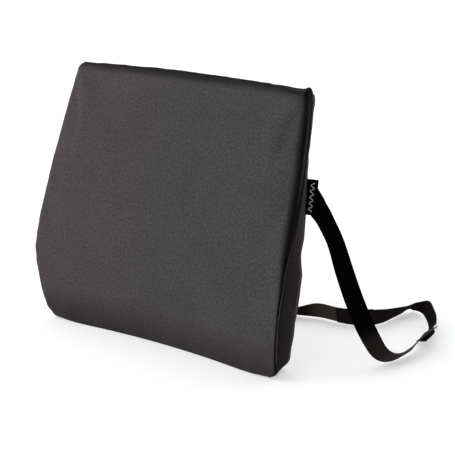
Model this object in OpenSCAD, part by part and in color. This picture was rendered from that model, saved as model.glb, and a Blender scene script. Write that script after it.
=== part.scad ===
// Lumbar support cushion: a moulded foam core in a zipped fabric cover, with a
// two-part webbing strap that closes behind the backrest of a chair.
// +Z is up, the front faces -Y, and the cushion stands on its flat bottom strip.

/* [Cushion] */
// Height of the front panel, seam to seam
cushion_h = 320; // [300:5:340]
// Width of the front panel at its widest
cushion_w = 376; // [350:2:390]
// How far the top of the back panel sits below the top of the front panel
back_drop = 10; // [6:1:14]
// How far the back seam sits inside the front seam at each side
back_inset = 6; // [4:1:8]
// Radius of the two top corners, seen from the front
top_corner_r = 8; // [6:1:14]
// Radius of the two bottom corners, seen from the front
base_corner_r = 16; // [12:1:24]
// Width over which the front panel rolls into its seam
roll_r = 10; // [8:1:14]
// How far the front draws back at its bottom corners
corner_draw = 8; // [4:1:12]
// Hollow of the front panel from side to side
front_dish = 9; // [5:1:11]
// Bulge of the back panel behind its seams
back_crown = 8; // [4:1:9]
// Rise of the top edge at its middle
top_crown = 3; // [0:0.5:5]

/* [Cover] */
// Thickness of the cover fabric
cover_t = 1.0; // [0.8:0.1:1.2]
// Slack between the cover and the foam
cover_gap = 0.3; // [0.3:0.1:0.6]

/* [Zip] */
// Height of the zip's middle above the base
zip_z = 33; // [32:1:40]
// Width of the opening between the two back panels
zip_open = 10; // [9:1:12]
// Half of the zip's length
zip_half = 168; // [140:2:168]
// Distance between neighbouring teeth of one row
tooth_pitch = 3; // [3:1:6]

/* [Strap] */
// Width of the webbing
strap_w = 22; // [20:1:25]
// Thickness of the webbing and of the closure tapes
strap_t = 1.5; // [1.2:0.1:1.6]
// Slack between layers of strap
strap_gap = 0.1; // [0.1:0.05:0.3]

/* [Label] */
// Height of the folded label
label_h = 40; // [34:1:42]
// Length of the label outside the seam
label_l = 10; // [8:1:12]

/* [Hidden] */
// Half width of the front panel at heights from 0 to 320
SIDE_LINE = [[0, 177], [40, 182], [110, 188], [200, 185], [270, 180], [320, 174]];
// Front face beside the side seams: [height, y]
FRONT_LINE = [[0, -31], [30, -34], [80, -37], [120, -32], [160, -22], [220, -1], [280, 21], [320, 37]];
// Depth from the front face to its seam: [height, depth]
ROLL_LINE = [[0, 4], [30, 3], [90, 3], [130, 8], [180, 17], [250, 18], [320, 11]];
// Back seam: [height, y]
BACK_LINE = [[0, 13], [60, 13], [110, 16], [160, 25], [210, 34], [260, 47], [310, 65]];
// Share of the front hollow: [height, share]
DISH_LINE = [[0, 1.6], [60, 1], [160, 0.75], [320, 0.5]];
// Share of the back crown: [height, share]
CROWN_LINE = [[0, 0], [60, 0], [125, 1], [200, 0.8], [310, 0.3]];
BASE_H = 320;
BASE_W = 376;
back_h = cushion_h - back_drop;
core_inset = cover_t + cover_gap;
zip_y = 13;
zip_low = (zip_z - zip_open / 2) / back_h;
zip_high = (zip_z + zip_open / 2) / back_h;

// The right half's route: its lower edge, and the direction across the webbing
RIGHT_ROUTE = [
    [181, 32, 192, 0, 0.18, 0.98],
    [178, 36.5, 190, 0.29, 0.18, 0.94],
    [185, 32, 181, 0.4, 0.46, 0.8],
    [190.5, 36.5, 169, 0.32, 0.81, 0.49],
    [197, 46, 145.5, 0.36, 0.87, 0.35],
    [201.5, 56.5, 111, 0.59, 0.75, 0.31],
    [211, 63, 77, 0.67, 0.66, 0.34],
    [221, 69.5, 47.5, 0.72, 0.56, 0.41],
    [231.5, 75, 25.5, 0.74, 0.41, 0.53],
    [240, 80.5, 12, 0.73, 0.16, 0.66],
    [246.5, 91.5, 4.5, 0.72, -0.07, 0.69],
    [251.5, 105.5, 2.5, 0.71, -0.19, 0.68],
    [255, 121.5, 4, 0.67, -0.2, 0.71],
    [257, 137.5, 6, 0.59, -0.14, 0.8],
    [255.5, 153, 9, 0.59, -0.04, 0.81],
    [254, 169, 10, 0.69, 0.03, 0.72],
    [252, 185, 10, 0.72, -0.1, 0.69]
];
// The left half's route
LEFT_ROUTE = [
    [-179, 33, 191.5, 0, 0.19, 0.98],
    [-181, 39.5, 186, 0, 0.3, 0.95],
    [-181, 50, 174.5, 0.03, 0.45, 0.89],
    [-175, 69, 151, 0.15, 0.65, 0.75],
    [-162, 93, 109, 0.4, 0.65, 0.65],
    [-140, 116, 67, 0.56, 0.56, 0.61],
    [-108, 135, 32, 0.51, 0.41, 0.76],
    [-65, 149, 10, 0.25, 0.15, 0.96],
    [-15, 154, 2, 0.2, -0.32, 0.93],
    [34, 162, 2, 0.15, -0.58, 0.8],
    [77, 166, 2, 0.2, -0.7, 0.68],
    [107, 175, 2, 0.05, -0.3, 0.95],
    [134, 176, 2, 0.03, -0.29, 0.96],
    [153.5, 180.5, 1.5, 0.03, -0.21, 0.98],
    [171.5, 192.5, 1.5, 0.12, -0.12, 0.99],
    [179, 208.5, 2, 0.35, -0.11, 0.93],
    [180.5, 228, 2.5, 0.55, -0.16, 0.82],
    [182, 247.5, 3, 0.67, -0.22, 0.71],
    [184, 262, 5.5, 0.72, -0.29, 0.63],
    [190.5, 268.5, 6.5, 0.71, -0.35, 0.61],
    [201.5, 266.5, 7.5, 0.69, -0.41, 0.59],
    [214.5, 257, 8, 0.65, -0.52, 0.56],
    [229, 240.5, 7, 0.64, -0.58, 0.5],
    [241.5, 222, 5, 0.59, -0.64, 0.49],
    [247, 206.5, 4, 0.56, -0.63, 0.54],
    [249.5, 193.5, 2.5, 0.73, -0.46, 0.49],
    [249, 172.5, 2, 0.78, -0.51, 0.35]
];
// Places along the routes, counted in stations
ROOT_END = 0.5;
ROOT_GAP = 0.25;
RIGHT_WEB_END = 7.6;
RIGHT_TAPE_START = 6.2;
LEFT_WEB_END = 14.1;
LEFT_TAPE_START = 12;
STRAP_STEP = 0.34;

// ---- Smooth lines through a few stations ----

function secant(line, k) = (line[k + 1][1] - line[k][1]) / (line[k + 1][0] - line[k][0]);

function slope(line, k) =
    k == 0 ? secant(line, 0)
    : k == len(line) - 1 ? secant(line, k - 1)
    : let (a = secant(line, k - 1), b = secant(line, k)) a * b <= 0 ? 0 : 2 * a * b / (a + b);

function stretch(line, s, k = 0) =
    (k < len(line) - 2 && s > line[k + 1][0]) ? stretch(line, s, k + 1) : k;

// Value of a line at s, without overshoot between its stations
function along(line, s) =
    let (
        k = stretch(line, s),
        h = line[k + 1][0] - line[k][0],
        t = (s - line[k][0]) / h,
        t2 = t * t,
        t3 = t2 * t
    )
    (2 * t3 - 3 * t2 + 1) * line[k][1] + (t3 - 2 * t2 + t) * h * slope(line, k)
    + (3 * t2 - 2 * t3) * line[k + 1][1] + (t3 - t2) * h * slope(line, k + 1);

function reversed(list) = [for (i = [len(list) - 1:-1:0]) list[i]];

function mix(a, b, t) = a + (b - a) * t;

function unit(v) = v / norm(v);

// ---- The cushion's faces ----

base_rows = [for (i = [0:4]) base_corner_r * (1 - cos(i * 22.5)) / cushion_h];
top_rows = [for (i = [4:-1:0]) 1 - top_corner_r * (1 - cos(i * 22.5)) / cushion_h];
MID_ROWS = 12;
rows = concat(
    base_rows,
    [zip_low, zip_high],
    [for (i = [1:MID_ROWS - 1]) mix(zip_high, top_rows[0], i / MID_ROWS)],
    top_rows
);
ZIP_ROW = 5;
HALF_COLUMNS = [0, 0.2, 0.4, 0.6, 0.75, 0.86, 0.925, 0.96, 0.985, 1];
columns = concat(
    [for (i = [len(HALF_COLUMNS) - 1:-1:1]) -HALF_COLUMNS[i]],
    HALF_COLUMNS
);

// How far a corner's arc cuts into the width, at a share r of the height
function corner_cut(r) =
    let (
        radius = r < 0.5 ? base_corner_r : top_corner_r,
        d = radius - min(r, 1 - r) * cushion_h
    )
    d > 0 ? radius - sqrt(radius * radius - d * d) : 0;

function half_width(r) = along(SIDE_LINE, r * BASE_H) * cushion_w / BASE_W - corner_cut(r);

// 0 on the flat of the front, 1 at its seam
function roll_share(d) = d > roll_r ? 0 : 1 - sqrt(1 - (1 - d / roll_r) * (1 - d / roll_r));

// 1 at a bottom corner, 0 away from it
function draw_share(a, r) =
    let (side = max(0, abs(a) - 0.72) / 0.28, low = max(0, 1 - r / 0.16))
    side * side * low * low;

// a runs from -1 to 1 across the panel, r from 0 to 1 up it
function front_point(a, r, inset) =
    let (
        w = half_width(r),
        edge = min((1 - abs(a)) * w, min(r, 1 - r) * cushion_h),
        h = cushion_h + top_crown * (1 - a * a),
        x = a * (w - inset),
        z = inset + r * (h - 2 * inset),
        s = r * BASE_H
    )
    [
        x,
        along(FRONT_LINE, s) + front_dish * along(DISH_LINE, s) * (1 - a * a)
        + along(ROLL_LINE, s) * roll_share(edge) + corner_draw * draw_share(a, r) + inset,
        z
    ];

function back_point(a, r, inset) =
    let (
        w = half_width(r) - back_inset,
        s = r * (BASE_H - back_drop),
        bulge = (1 - pow(abs(a), 3)) * (1 - pow(abs(2 * r - 1), 6))
    )
    [
        a * (w - inset),
        along(BACK_LINE, s) + back_crown * along(CROWN_LINE, s) * bulge - inset,
        inset + r * (back_h - 2 * inset)
    ];

function front_grid(inset) = [for (r = rows) [for (a = columns) front_point(a, r, inset)]];

function back_grid(inset) = [for (r = rows) [for (a = columns) back_point(a, r, inset)]];

// The back panel is seen from behind, so its columns run the other way
function back_rows(first, last, inset) =
    [for (i = [first:last]) [for (a = reversed(columns)) back_point(a, rows[i], inset)]];

SEAM_GAP = 0.015;
function across_seams(a, r, inset, share) =
    mix(front_point(a, r, inset), back_point(a, r, inset), share);

function side_grid(a, inset) =
    let (ends = a > 0 ? [SEAM_GAP, 1 - SEAM_GAP] : [1 - SEAM_GAP, SEAM_GAP])
    [for (r = rows) [for (share = ends) across_seams(a, r, inset, share)]];

END_TRIM = 0.997;
function end_grid(r, inset) =
    let (ends = r > 0 ? [SEAM_GAP, 1 - SEAM_GAP] : [1 - SEAM_GAP, SEAM_GAP])
    [for (share = ends) [for (a = columns) across_seams(a * END_TRIM, r, inset, share)]];

// ---- A closed sheet between an outer and an inner grid of points ----

function quad(a, b, c, d) = [[a, c, b], [a, d, c]];

module sheet(outer, inner) {
    m = len(outer);
    n = len(outer[0]);
    under = m * n;
    faces = concat(
        [for (i = [0:m - 2], j = [0:n - 2], f = quad(
            i * n + j, i * n + j + 1, (i + 1) * n + j + 1, (i + 1) * n + j)) f],
        [for (i = [0:m - 2], j = [0:n - 2], f = quad(
            under + i * n + j, under + (i + 1) * n + j,
            under + (i + 1) * n + j + 1, under + i * n + j + 1)) f],
        [for (i = [0:m - 2], f = quad(
            i * n, (i + 1) * n, under + (i + 1) * n, under + i * n)) f],
        [for (i = [0:m - 2], f = quad(
            i * n + n - 1, under + i * n + n - 1,
            under + (i + 1) * n + n - 1, (i + 1) * n + n - 1)) f],
        [for (j = [0:n - 2], f = quad(j, under + j, under + j + 1, j + 1)) f],
        [for (j = [0:n - 2], f = quad(
            (m - 1) * n + j, (m - 1) * n + j + 1,
            under + (m - 1) * n + j + 1, under + (m - 1) * n + j)) f]
    );
    points = [for (grid = [outer, inner], row = grid, p = row) p];
    polyhedron(points = points, faces = faces, convexity = 6);
}

// ---- A flat strap along a route ----

// Smooth value between the stations of a route
function route_at(route, u) =
    let (
        k = min(floor(u), len(route) - 2),
        t = u - k,
        p0 = route[max(k - 1, 0)],
        p1 = route[k],
        p2 = route[k + 1],
        p3 = route[min(k + 2, len(route) - 1)]
    )
    (2 * p1 + (p2 - p0) * t + (2 * p0 - 5 * p1 + 4 * p2 - p3) * t * t
        + (3 * p1 - p0 - 3 * p2 + p3) * t * t * t) / 2;

function place(s) = [s[0], s[1], s[2]];

function side_of(s) = unit([s[3], s[4], s[5]]);

function middle(route, u) =
    let (s = route_at(route, u)) place(s) + side_of(s) * strap_w / 2;

// [middle, direction across, normal] of the strap at u. Where the direction across slants
// to the route, it is longer, so that the webbing keeps its width.
function strap_frame(route, u) =
    let (
        last = len(route) - 1,
        along_strap = unit(middle(route, min(u + 0.05, last)) - middle(route, max(u - 0.05, 0))),
        side = side_of(route_at(route, u)),
        normal = cross(side, along_strap)
    )
    [middle(route, u), side / norm(normal), unit(normal)];

function strap_row(route, u, lift, low, high) =
    let (f = strap_frame(route, u))
    [f[0] + f[1] * low + f[2] * lift, f[0] + f[1] * high + f[2] * lift];

// A band of the strap from low to high across it, and from base to top off its middle surface
module band(route, from, to, low, high, base, top) {
    count = max(1, ceil((to - from) / STRAP_STEP));
    places = [for (i = [0:count]) mix(from, to, i / count)];
    sheet(
        [for (u = places) strap_row(route, u, top, low, high)],
        [for (u = places) strap_row(route, u, base, low, high)]
    );
}

THREAD_W = 0.8;
THREAD_T = 0.35;
THREAD_LIFT = 0.3;
STITCH_INSET = 3;

// A sewn rectangle that holds one layer of strap on the other
module stitch_box(route, from, to, base, top) {
    half = strap_w / 2 - STITCH_INSET;
    for (side = [-1, 1])
        band(route, from, to, side * half - THREAD_W / 2, side * half + THREAD_W / 2, base, top);
    run = 0.035;
    for (u = [from, to])
        band(route, u - run, u + run, THREAD_W / 2 - half + 0.1, half - THREAD_W / 2 - 0.1, base, top);
}

// ---- The sub-parts ----

module foam_core() {
    color("gold") sheet(front_grid(core_inset), back_grid(core_inset));
}

module front_panel() {
    color([0.2, 0.2, 0.2]) sheet(front_grid(0), front_grid(cover_t));
}

module gusset_right() {
    color([0.15, 0.14, 0.14]) sheet(side_grid(1, 0), side_grid(1, cover_t));
}

module gusset_left() {
    color([0.15, 0.14, 0.14]) sheet(side_grid(-1, 0), side_grid(-1, cover_t));
}

module gusset_top() {
    color([0.13, 0.12, 0.12]) sheet(end_grid(1, 0), end_grid(1, cover_t));
}

module gusset_bottom() {
    color([0.13, 0.12, 0.12]) sheet(end_grid(0, 0), end_grid(0, cover_t));
}

module back_panel_upper() {
    last = len(rows) - 1;
    color([0.17, 0.16, 0.16])
        sheet(back_rows(ZIP_ROW + 1, last, 0), back_rows(ZIP_ROW + 1, last, cover_t));
}

module back_panel_lower() {
    color([0.17, 0.16, 0.16])
        sheet(back_rows(0, ZIP_ROW, 0), back_rows(0, ZIP_ROW, cover_t));
}

TAPE_CLEAR = 1.2;
TAPE_MID = 0.8;
module zip_tape() {
    height = zip_open / 2 - TAPE_CLEAR - TAPE_MID;
    translate([-zip_half, zip_y - cover_t, TAPE_MID])
        cube([2 * zip_half, cover_t - 0.3, height]);
}

module zip_tape_upper() {
    color([0.08, 0.08, 0.08]) translate([0, 0, zip_z]) zip_tape();
}

module zip_tape_lower() {
    color([0.08, 0.08, 0.08]) translate([0, 0, zip_z]) mirror([0, 0, 1]) zip_tape();
}

TOOTH = [1.1, 1.2, 2.2];
tooth_base = zip_y - 0.2;
STOP_L = 4;
module zip_teeth(shift, up) {
    count = floor((2 * zip_half - 2 * STOP_L - 4) / tooth_pitch);
    first = -count * tooth_pitch / 2;
    for (i = [0:count - 1])
        translate([first + shift + i * tooth_pitch, tooth_base, zip_z + (up ? -0.5 : 0.5 - TOOTH[2])])
            cube(TOOTH);
}

module zip_teeth_upper() {
    color([0.1, 0.1, 0.1]) zip_teeth(0, true);
}

module zip_teeth_lower() {
    color([0.1, 0.1, 0.1]) zip_teeth(tooth_pitch / 2, false);
}

module zip_stop(side) {
    translate([side * (zip_half - STOP_L / 2) - STOP_L / 2, tooth_base, zip_z - 2.5])
        cube([STOP_L, 1.6, 5]);
}

module zip_stop_right() {
    color("silver") zip_stop(1);
}

module zip_stop_left() {
    color("silver") zip_stop(-1);
}

// The slider stands closed at the right end of the zip
SLIDER_X = 156;
SLIDER_L = 10;
SLIDER_W = 9;
SLIDER_T = 2;
slider_base = tooth_base + TOOTH[1] + 0.3;
pin_y = slider_base + SLIDER_T + 1.6;
PIN_R = 0.7;
PIN_SLACK = 0.08;
LUG_W = 1.2;
LUG_GAP = 5;

module zip_slider() {
    color("silver") difference() {
        union() {
            translate([SLIDER_X - SLIDER_L / 2, slider_base, zip_z - SLIDER_W / 2])
                cube([SLIDER_L, SLIDER_T, SLIDER_W]);
            for (side = [-1, 1])
                translate([SLIDER_X, pin_y, zip_z + side * (LUG_GAP + LUG_W) / 2]) {
                    cylinder(r = 1.5, h = LUG_W, center = true, $fn = 32);
                    translate([-1.5, slider_base + SLIDER_T - 0.5 - pin_y, -LUG_W / 2])
                        cube([3, pin_y - slider_base - SLIDER_T + 0.5, LUG_W]);
                }
            translate([SLIDER_X, pin_y, zip_z])
                cylinder(r = PIN_R, h = LUG_GAP + LUG_W, center = true, $fn = 32);
        }
        // the pointed throat between the two rows of teeth
        for (side = [-1, 1])
            translate([SLIDER_X - SLIDER_L / 2, slider_base - 1, zip_z + side * SLIDER_W / 2])
                rotate([-90, 0, 0])
                    cylinder(r = 2, h = SLIDER_T + 2, $fn = 32);
    }
}

PULL_L = 24;
PULL_W = 4.4;
PULL_T = 1.2;
module zip_pull() {
    color("silver") difference() {
        union() {
            translate([SLIDER_X, pin_y, zip_z])
                cylinder(r = 1.4, h = PULL_W, center = true, $fn = 32);
            translate([SLIDER_X - PULL_L, pin_y + 0.2, zip_z - PULL_W / 2])
                cube([PULL_L, PULL_T, PULL_W]);
            translate([SLIDER_X - PULL_L, pin_y + 0.2, zip_z])
                rotate([-90, 0, 0])
                    cylinder(r = 3.2, h = PULL_T, $fn = 48);
        }
        translate([SLIDER_X, pin_y, zip_z])
            cylinder(r = PIN_R + PIN_SLACK, h = PULL_W + 2, center = true, $fn = 48);
        translate([SLIDER_X - PULL_L, pin_y - 1, zip_z])
            rotate([-90, 0, 0])
                cylinder(r = 1.5, h = PULL_T + 3, $fn = 32);
    }
}

// A folded label: two leaves that meet in a round fold at the free end
LABEL_AT = [180.2, 27.8, 183.5];
LEAF_T = 0.45;
LEAF_GAP = 0.3;
LABEL_TURN = 8;
LABEL_LEAN = 12;
module woven_label() {
    outer_r = LEAF_T + LEAF_GAP / 2;
    color([0.05, 0.05, 0.05])
        translate(LABEL_AT) rotate([-LABEL_LEAN, 0, LABEL_TURN]) linear_extrude(height = label_h)
            difference() {
                union() {
                    translate([0, -outer_r]) square([label_l - outer_r, 2 * outer_r]);
                    translate([label_l - outer_r, 0]) circle(r = outer_r, $fn = 24);
                }
                translate([-1, -LEAF_GAP / 2]) square([label_l - outer_r + 1, LEAF_GAP]);
            }
}

half_w = strap_w / 2;
half_t = strap_t / 2;

module strap_root_right() {
    color([0.06, 0.06, 0.06])
        band(RIGHT_ROUTE, 0, ROOT_END, -half_w, half_w, -half_t, half_t);
}

module strap_root_left() {
    color([0.06, 0.06, 0.06])
        band(LEFT_ROUTE, 0, ROOT_END, -half_w, half_w, -half_t, half_t);
}

module strap_right_webbing() {
    color([0.06, 0.06, 0.06])
        band(RIGHT_ROUTE, ROOT_END + ROOT_GAP, RIGHT_WEB_END, -half_w, half_w, -half_t, half_t);
}

module strap_right_loop_tape() {
    base = -half_t - strap_gap;
    color([0.12, 0.1, 0.1])
        band(RIGHT_ROUTE, RIGHT_TAPE_START, len(RIGHT_ROUTE) - 1, -half_w, half_w, base - strap_t, base);
}

module strap_right_stitching() {
    color([0.3, 0.3, 0.3])
        stitch_box(RIGHT_ROUTE, RIGHT_TAPE_START + 0.15, RIGHT_WEB_END - 0.15,
            half_t + THREAD_LIFT, half_t + THREAD_LIFT + THREAD_T);
}

module strap_left_webbing() {
    color([0.12, 0.1, 0.1])
        band(LEFT_ROUTE, ROOT_END + ROOT_GAP, LEFT_WEB_END, -half_w, half_w, -half_t, half_t);
}

module strap_left_hook_tape() {
    base = -half_t - strap_gap;
    color([0.12, 0.1, 0.1])
        band(LEFT_ROUTE, LEFT_TAPE_START, len(LEFT_ROUTE) - 1, -half_w, half_w, base - strap_t, base);
}

module strap_left_stitching() {
    color([0.3, 0.3, 0.3])
        stitch_box(LEFT_ROUTE, LEFT_TAPE_START + 0.15, LEFT_WEB_END - 0.15,
            half_t + THREAD_LIFT, half_t + THREAD_LIFT + THREAD_T);
}

foam_core();
front_panel();
gusset_right();
gusset_left();
gusset_top();
gusset_bottom();
back_panel_upper();
back_panel_lower();
zip_tape_upper();
zip_tape_lower();
zip_teeth_upper();
zip_teeth_lower();
zip_stop_right();
zip_stop_left();
zip_slider();
zip_pull();
woven_label();
strap_root_right();
strap_root_left();
strap_right_webbing();
strap_right_loop_tape();
strap_right_stitching();
strap_left_webbing();
strap_left_hook_tape();
strap_left_stitching();
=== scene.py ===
import math

import bmesh
import bpy
import numpy as np
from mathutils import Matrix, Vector, noise


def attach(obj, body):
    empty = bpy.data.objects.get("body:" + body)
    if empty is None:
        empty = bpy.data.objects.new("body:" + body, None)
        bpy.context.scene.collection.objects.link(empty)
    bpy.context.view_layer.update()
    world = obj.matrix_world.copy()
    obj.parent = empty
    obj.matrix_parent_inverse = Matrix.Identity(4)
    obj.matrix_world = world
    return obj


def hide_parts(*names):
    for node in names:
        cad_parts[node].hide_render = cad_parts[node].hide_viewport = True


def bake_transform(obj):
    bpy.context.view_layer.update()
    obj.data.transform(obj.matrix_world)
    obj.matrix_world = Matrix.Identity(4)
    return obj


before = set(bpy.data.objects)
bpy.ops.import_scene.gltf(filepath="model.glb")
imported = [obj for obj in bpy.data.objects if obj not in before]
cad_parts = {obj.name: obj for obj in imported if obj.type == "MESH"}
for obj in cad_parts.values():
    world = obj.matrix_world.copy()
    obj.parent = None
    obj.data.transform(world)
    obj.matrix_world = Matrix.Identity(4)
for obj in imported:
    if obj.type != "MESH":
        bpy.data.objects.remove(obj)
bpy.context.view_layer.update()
MM = 0.001


# ---------------------------------------------------------------- camera

# Place, angles and lens are results of a fit to the photo's outlines
AZIMUTH = 36.7
ELEVATION = 16.35
LENS_MM = 100.2
CAMERA_AT = (0.9201, -1.1126, 0.5667)
camera_data = bpy.data.cameras.new("camera")
camera_data.sensor_width = 36
camera_data.lens = LENS_MM
camera_data.clip_end = 100
camera = bpy.data.objects.new("camera", camera_data)
camera.location = CAMERA_AT
camera.rotation_euler = (math.radians(90 - ELEVATION), 0, math.radians(AZIMUTH))
bpy.context.collection.objects.link(camera)
bpy.context.scene.camera = camera


# ---------------------------------------------------------------- materials


def tree(name):
    m = bpy.data.materials.new(name)
    m.use_nodes = True
    nodes, links = m.node_tree.nodes, m.node_tree.links
    return m, nodes, links, nodes["Principled BSDF"]


def math_node(nodes, links, op, a, b=None):
    n = nodes.new("ShaderNodeMath")
    n.operation = op
    for i, v in enumerate((a, b)):
        if v is None:
            continue
        if isinstance(v, (int, float)):
            n.inputs[i].default_value = v
        else:
            links.new(v, n.inputs[i])
    return n.outputs[0]


def wave(nodes, links, vector, period, direction, profile="SIN", distortion=0.0):
    n = nodes.new("ShaderNodeTexWave")
    n.wave_type = "BANDS"
    n.bands_direction = direction
    n.wave_profile = profile
    n.inputs["Scale"].default_value = 2 * math.pi / (20 * period)
    n.inputs["Distortion"].default_value = distortion
    n.inputs["Detail"].default_value = 1
    links.new(vector, n.inputs["Vector"])
    return n.outputs["Fac"]


def noise_node(nodes, links, vector, scale, detail=3.0, roughness=0.5):
    n = nodes.new("ShaderNodeTexNoise")
    n.inputs["Scale"].default_value = scale
    n.inputs["Detail"].default_value = detail
    n.inputs["Roughness"].default_value = roughness
    links.new(vector, n.inputs["Vector"])
    return n.outputs["Fac"]


def ramp(nodes, links, fac, stops):
    n = nodes.new("ShaderNodeValToRGB")
    e = n.color_ramp.elements
    e[0].position, e[0].color = stops[0][0], (*stops[0][1], 1)
    e[1].position, e[1].color = stops[-1][0], (*stops[-1][1], 1)
    for pos, col in stops[1:-1]:
        k = e.new(pos)
        k.color = (*col, 1)
    links.new(fac, n.inputs["Fac"])
    return n.outputs["Color"]


def mix_colour(nodes, links, fac, a, b, blend="MIX"):
    n = nodes.new("ShaderNodeMix")
    n.data_type = "RGBA"
    n.blend_type = blend
    for socket, v in ((n.inputs[0], fac), (n.inputs[6], a), (n.inputs[7], b)):
        if isinstance(v, (int, float)):
            socket.default_value = v
        elif isinstance(v, tuple):
            socket.default_value = (*v, 1)
        else:
            links.new(v, socket)
    return n.outputs[2]


def speckled(nodes, links, base, fac, low, high, start=0.3, end=0.7):
    """The base colour times a grey that goes from low to high as fac does from start to end."""
    tone = ramp(nodes, links, fac, [(start, (low,) * 3), (end, (high,) * 3)])
    return mix_colour(nodes, links, 1.0, base, tone, "MULTIPLY")


def soft_range(nodes, links, value, low, high):
    """0 below low, 1 above high, and a smooth change between them."""
    n = nodes.new("ShaderNodeMapRange")
    n.interpolation_type = "SMOOTHSTEP"
    n.inputs["From Min"].default_value = low
    n.inputs["From Max"].default_value = high
    links.new(value, n.inputs["Value"])
    return n.outputs[0]


def bump(nodes, links, height, strength, distance, normal=None):
    n = nodes.new("ShaderNodeBump")
    n.inputs["Strength"].default_value = strength
    n.inputs["Distance"].default_value = distance
    links.new(height, n.inputs["Height"])
    if normal is not None:
        links.new(normal, n.inputs["Normal"])
    return n.outputs["Normal"]


def uv(nodes):
    n = nodes.new("ShaderNodeUVMap")
    n.uv_map = "weave"
    return n.outputs["UV"]


def attribute(nodes, name):
    n = nodes.new("ShaderNodeAttribute")
    n.attribute_name = name
    return n.outputs["Fac"]


def knit(name, colour_left, colour_right, rough, sheen, gloss, wale, course, depth, mottle):
    """Fine fabric. It goes from one colour to the other towards the right, above the bottom edge."""
    m, nodes, links, bsdf = tree(name)
    place = uv(nodes)
    where = nodes.new("ShaderNodeTexCoord").outputs["Object"]
    sep = nodes.new("ShaderNodeSeparateXYZ")
    links.new(where, sep.inputs[0])
    across = soft_range(nodes, links, sep.outputs["X"], -0.14, 0.06)
    above = soft_range(nodes, links, sep.outputs["Z"], 0.015, 0.075)
    to_right = math_node(nodes, links, "MULTIPLY", across, above)
    base = mix_colour(nodes, links, to_right, colour_left, colour_right)
    a = wave(nodes, links, place, wale, "X")
    b = wave(nodes, links, place, course, "Y", distortion=0.6)
    weave = math_node(nodes, links, "MULTIPLY", a, b)
    grain = noise_node(nodes, links, place, 900, 2)
    fleck = noise_node(nodes, links, place, 330, 2)
    cloud = noise_node(nodes, links, where, 22, 3, 0.6)
    dark = ramp(nodes, links, weave, [(0.0, (0.72,) * 3), (0.55, (1.08,) * 3), (1.0, (1.3,) * 3)])
    base = mix_colour(nodes, links, 1.0, base, dark, "MULTIPLY")
    base = speckled(nodes, links, base, grain, 1 - mottle, 1 + mottle)
    base = speckled(nodes, links, base, fleck, 0.78, 1.22)
    base = speckled(nodes, links, base, cloud, 0.94, 1.05, start=0.35, end=0.65)
    shade = attribute(nodes, "shade")
    base = mix_colour(nodes, links, shade, (0.0, 0.0, 0.0), base)
    links.new(base, bsdf.inputs["Base Color"])
    bsdf.inputs["Roughness"].default_value = rough
    bsdf.inputs["Sheen Weight"].default_value = sheen
    bsdf.inputs["Sheen Roughness"].default_value = 0.5
    bsdf.inputs["Specular IOR Level"].default_value = gloss
    n = bump(nodes, links, weave, 0.6, depth)
    n = bump(nodes, links, grain, 0.35, depth * 0.7, n)
    links.new(n, bsdf.inputs["Normal"])
    return m


SELVAGE = (0.12, 0.105, 0.108)


def webbing(name, colour, worn, rough, rib, specular):
    """Ribbed webbing. The tone attribute leads from its colour to the worn one, edge to the pale selvage."""
    m, nodes, links, bsdf = tree(name)
    place = uv(nodes)
    ribs = wave(nodes, links, place, rib, "Y")
    cross = wave(nodes, links, place, 0.0026, "X")
    main = math_node(nodes, links, "MULTIPLY", ribs, 0.7)
    minor = math_node(nodes, links, "MULTIPLY", cross, 0.3)
    weave = math_node(nodes, links, "ADD", main, minor)
    grain = noise_node(nodes, links, place, 700, 3)
    tone = attribute(nodes, "tone")
    base = mix_colour(nodes, links, tone, colour, worn)
    dark = ramp(nodes, links, weave, [(0.0, (0.55,) * 3), (0.6, (1.05,) * 3), (1.0, (1.35,) * 3)])
    base = mix_colour(nodes, links, 1.0, base, dark, "MULTIPLY")
    base = speckled(nodes, links, base, grain, 0.8, 1.2)
    base = mix_colour(nodes, links, attribute(nodes, "edge"), base, SELVAGE)
    links.new(base, bsdf.inputs["Base Color"])
    bsdf.inputs["Roughness"].default_value = rough
    bsdf.inputs["Specular IOR Level"].default_value = specular
    n = bump(nodes, links, weave, 0.8, 0.0004)
    n = bump(nodes, links, grain, 0.3, 0.0002, n)
    links.new(n, bsdf.inputs["Normal"])
    return m


def plain(name, colour, rough, metallic=0.0, speckle=0.12, scale=400.0, depth=0.0001, coat=0.0):
    m, nodes, links, bsdf = tree(name)
    where = nodes.new("ShaderNodeTexCoord").outputs["Object"]
    grain = noise_node(nodes, links, where, scale, 4, 0.6)
    darker = tuple(c * (1 - speckle) for c in colour)
    lighter = tuple(c * (1 + speckle) for c in colour)
    tone = ramp(nodes, links, grain, [(0.3, darker), (0.7, lighter)])
    links.new(tone, bsdf.inputs["Base Color"])
    rr = nodes.new("ShaderNodeMapRange")
    rr.inputs["To Min"].default_value = max(0.0, rough - 0.08)
    rr.inputs["To Max"].default_value = min(1.0, rough + 0.08)
    links.new(grain, rr.inputs["Value"])
    links.new(rr.outputs[0], bsdf.inputs["Roughness"])
    bsdf.inputs["Metallic"].default_value = metallic
    bsdf.inputs["Coat Weight"].default_value = coat
    links.new(bump(nodes, links, grain, 0.3, depth), bsdf.inputs["Normal"])
    return m


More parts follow.
